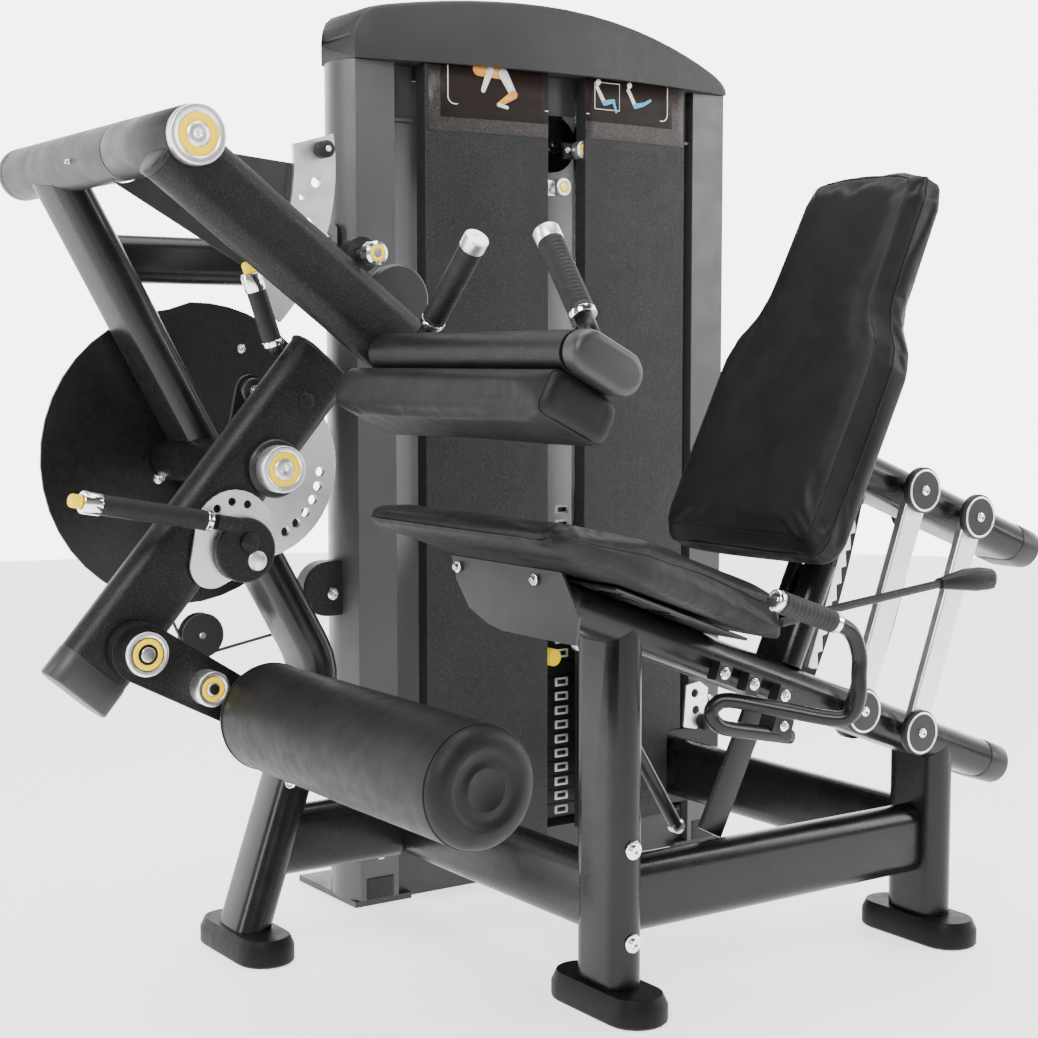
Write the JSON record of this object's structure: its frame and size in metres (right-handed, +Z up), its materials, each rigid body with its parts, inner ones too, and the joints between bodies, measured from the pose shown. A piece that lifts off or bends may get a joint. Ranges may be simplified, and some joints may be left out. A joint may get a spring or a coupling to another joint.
{
  "type": "leg extension machine",
  "caption": "Selectorised leg curl and leg extension machine with a swinging roller arm, locking thigh pad arm, backrest on parallel links and an enclosed weight stack.",
  "frame": {"origin": "on the floor, at the centre of the machine's floor area", "axes": "+Z up; the user sits facing -X; the weight tower stands on the +Y side"},
  "size_m": [1.6576, 1.23, 1.6519],
  "materials": {
    "frame_black": "satin black powder coat",
    "textured_black": "sparkly textured black powder coat",
    "pivot_grey": "smooth mid grey paint",
    "column_grey": "satin grey paint",
    "cap_grey": "matt dark grey moulded plastic",
    "shroud_black": "speckled dark grey moulded plastic",
    "panel_grey": "light grey painted sheet",
    "leather": "matt grained black upholstery",
    "rubber": "matt black rubber",
    "chrome": "bright chrome",
    "iron": "black painted iron",
    "guard_plastic": "semi-gloss black plastic",
    "yellow": "bright yellow plastic",
    "cable": "black coated steel cable"
  },
  "bodies": {
    "frame": {"arm_cable": "cable", "arm_upright": "frame_black", "back_post": "frame_black", "cam_guard": "guard_plastic", "front_foot": "rubber", "front_post": "frame_black", "front_rail": "frame_black", "knee_housing": "frame_black", "left_column": "column_grey", "left_foot": "rubber", "left_guide_rod": "chrome", "left_rail": "frame_black", "left_shroud": "shroud_black", "leg_shield": "pivot_grey", "lift_cable": "cable", "lintel": "frame_black", "pivot_tube": "pivot_grey", "rear_foot": "rubber", "rear_post": "frame_black", "rear_rail": "frame_black", "rear_shroud": "panel_grey", "rest_plates": "iron", "right_column": "column_grey", "right_guide_rod": "chrome", "right_shroud": "shroud_black", "seat_board": "frame_black", "seat_handle": "frame_black", "seat_pad": "leather", "seat_rail": "frame_black", "sector_plate": "chrome", "side_rail": "frame_black", "tower_base": "iron", "tower_cap": "cap_grey"},
    "leg_arm": {"leg_arm_tube": "textured_black", "knee_shaft": "chrome", "selector_plate": "chrome", "start_handle": "chrome", "range_handle": "textured_black"},
    "start_button": {"start_button": "yellow"},
    "range_button": {"range_button": "yellow"},
    "roller_link": {"roller_link": "textured_black"},
    "roller": {"roller_pad": "leather"},
    "thigh_arm": {"thigh_hub": "textured_black", "thigh_arm_tube": "textured_black", "cross_tube": "textured_black", "thigh_pad": "leather", "near_grip": "rubber", "far_grip": "rubber"},
    "lock_pin": {"lock_pin": "chrome"},
    "stack": {"lifted_plates": "iron"},
    "selector_pin": {"selector_pin": "yellow"},
    "crown_pulley": {"crown_pulley": "guard_plastic"},
    "arm_pulley": {"arm_pulley": "guard_plastic"},
    "rear_links": {"rear_links": "chrome"},
    "middle_links": {"middle_links": "chrome"},
    "rack": {"rack_link": "chrome"},
    "carriage": {"back_rail": "frame_black", "backrest_pad": "leather"},
    "release_lever": {"release_lever": "textured_black"}
  },
  "joints": [
    {"name": "leg_arm_swing", "type": "hinge", "parent": "frame", "child": "leg_arm", "pos_m": [-0.465, 0.105, 0.832], "axis": [0, 1, 0], "range_deg": [0, 95]},
    {"name": "start_button_press", "type": "slide", "parent": "leg_arm", "child": "start_button", "axis": [0.3263, 0, -0.9453], "range_m": [0, 0.006], "stiffness_N_per_m": 300, "springref_m": -0.002},
    {"name": "range_button_press", "type": "slide", "parent": "leg_arm", "child": "range_button", "axis": [0.9833, 0, -0.1821], "range_m": [0, 0.006], "stiffness_N_per_m": 300, "springref_m": -0.002},
    {"name": "roller_link_swing", "type": "hinge", "parent": "leg_arm", "child": "roller_link", "pos_m": [-0.699, 0.062, 0.5665], "axis": [0, 1, 0], "range_deg": [-30, 0]},
    {"name": "roller_spin", "type": "hinge", "parent": "roller_link", "child": "roller", "pos_m": [-0.508, -0.29, 0.456], "axis": [0, 1, 0], "continuous": true},
    {"name": "thigh_arm_swing", "type": "hinge", "parent": "frame", "child": "thigh_arm", "pos_m": [-0.667, 0.02, 1.314], "axis": [0, 1, 0], "range_deg": [-25, 0]},
    {"name": "lock_pin_pull", "type": "slide", "parent": "thigh_arm", "child": "lock_pin", "axis": [0, -1, 0], "range_m": [0, 0.02], "stiffness_N_per_m": 400, "springref_m": -0.005},
    {"name": "stack_lift", "type": "slide", "parent": "frame", "child": "stack", "axis": [0, 0, 1], "range_m": [0, 0.29], "deforming": ["lift_cable"]},
    {"name": "selector_pin_pull", "type": "slide", "parent": "stack", "child": "selector_pin", "axis": [0, -1, 0], "range_m": [0, 0.055]},
    {"name": "crown_pulley_spin", "type": "hinge", "parent": "frame", "child": "crown_pulley", "pos_m": [0.3515, 0.485, 1.42], "axis": [0, 1, 0], "range_deg": [0, 330]},
    {"name": "arm_pulley_spin", "type": "hinge", "parent": "frame", "child": "arm_pulley", "pos_m": [-0.4025, 0.486, 0.515], "axis": [0, 1, 0], "range_deg": [0, 310]},
    {"name": "rear_links_swing", "type": "hinge", "parent": "frame", "child": "rear_links", "pos_m": [0.5005, -0.29, 0.38074], "axis": [0, 1, 0], "range_deg": [-30, 0]},
    {"name": "middle_links_swing", "type": "hinge", "parent": "frame", "child": "middle_links", "pos_m": [0.367, -0.29, 0.4312], "axis": [0, 1, 0], "range_deg": [-30, 0]},
    {"name": "rack_swing", "type": "hinge", "parent": "frame", "child": "rack", "pos_m": [0.32791, -0.29, 0.49408], "axis": [0, 1, 0], "range_deg": [-30, 0]},
    {"name": "carriage_tilt", "type": "hinge", "parent": "rear_links", "child": "carriage", "pos_m": [0.631, -0.29, 0.73544], "axis": [0, 1, 0], "range_deg": [0, 30]},
    {"name": "release_lever_lift", "type": "hinge", "parent": "frame", "child": "release_lever", "pos_m": [0.077, -0.495, 0.612], "axis": [0, 1, 0], "range_deg": [-12, 0], "stiffness_Nm_per_rad": 2, "springref_deg": 5.73}
  ],
  "couplings": [
    {"joint": "stack_lift", "follows": "leg_arm_swing", "m_per_rad": 0.17},
    {"joint": "crown_pulley_spin", "follows": "leg_arm_swing", "ratio": 3.43},
    {"joint": "arm_pulley_spin", "follows": "leg_arm_swing", "ratio": 3.2},
    {"joint": "middle_links_swing", "follows": "rear_links_swing", "ratio": 1},
    {"joint": "rack_swing", "follows": "rear_links_swing", "ratio": 1},
    {"joint": "carriage_tilt", "follows": "rear_links_swing", "ratio": -1}
  ]
}
